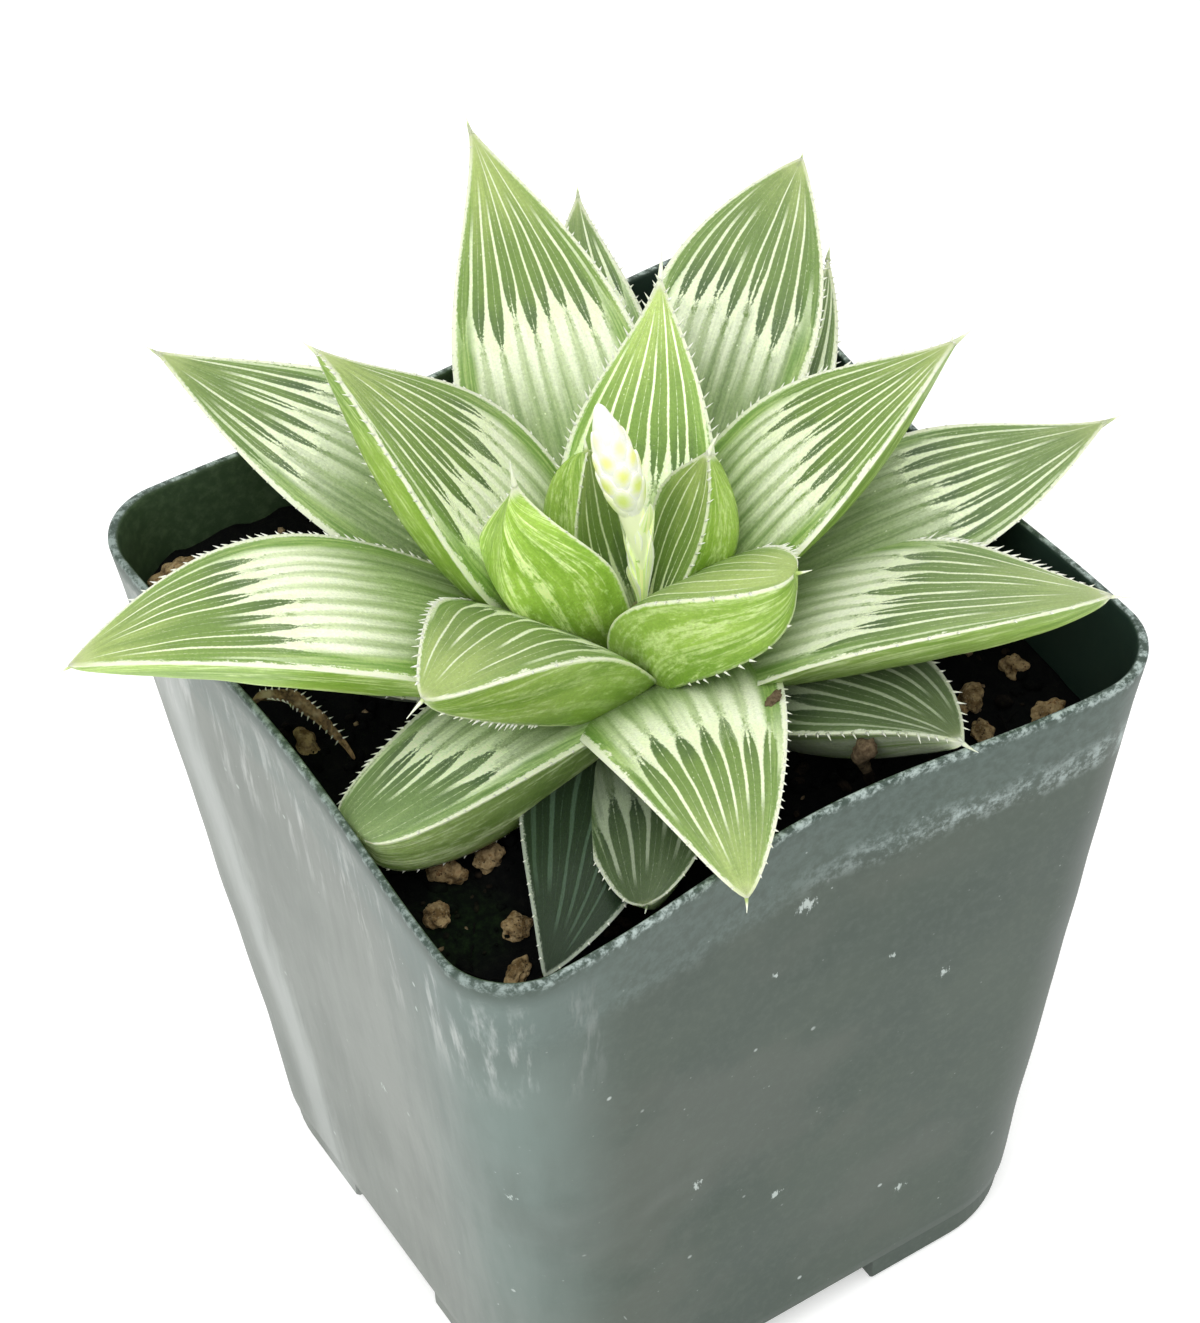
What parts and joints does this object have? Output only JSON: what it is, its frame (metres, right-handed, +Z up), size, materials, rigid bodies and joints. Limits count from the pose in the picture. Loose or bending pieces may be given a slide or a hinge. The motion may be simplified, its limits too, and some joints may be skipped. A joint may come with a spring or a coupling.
{
  "type": "potted haworthia",
  "caption": "Rosette of thick toothed succulent leaves with a flower bud, in soil in a thin square nursery pot.",
  "frame": {"origin": "middle of the rest plane, under the pot's centre pad", "axes": "+Z up along the pot's axis, X and Y square to the pot's sides"},
  "size_m": [0.1207, 0.1138, 0.1263],
  "materials": {
    "pot_plastic": "satin, hazed, scuffed pale along the rim",
    "soil": "matt, damp and crumbly",
    "stem": "matt",
    "inner_leaf": "smooth, waxy, lined",
    "leaf": "smooth, waxy, lined",
    "lower_leaf": "smooth, waxy, lined, dull",
    "flower": "papery, pale with green midribs",
    "pumice": "rough, porous",
    "dry_leaf": "papery, dry"
  },
  "bodies": {
    "root": {"pot": "pot_plastic", "soil": "soil", "stem": "stem", "leaf_01": "inner_leaf", "leaf_02": "inner_leaf", "leaf_03": "inner_leaf", "leaf_04": "inner_leaf", "leaf_05": "inner_leaf", "leaf_06": "leaf", "leaf_07": "leaf", "leaf_08": "leaf", "leaf_09": "leaf", "leaf_10": "leaf", "leaf_11": "leaf", "leaf_12": "leaf", "leaf_13": "leaf", "leaf_14": "leaf", "leaf_15": "leaf", "leaf_16": "leaf", "leaf_17": "lower_leaf", "leaf_18": "lower_leaf", "leaf_19": "lower_leaf", "leaf_20": "lower_leaf", "leaf_21": "lower_leaf", "leaf_22": "lower_leaf", "leaf_23": "lower_leaf", "leaf_24": "lower_leaf", "flower_stalk": "flower", "pumice_1": "pumice", "pumice_2": "pumice", "pumice_3": "pumice", "pumice_4": "pumice", "pumice_5": "pumice", "pumice_6": "pumice", "pumice_7": "pumice", "pumice_8": "pumice", "pumice_9": "pumice", "pumice_10": "pumice", "pumice_11": "pumice", "pumice_12": "pumice", "dry_leaf": "dry_leaf"}
  },
  "joints": []
}
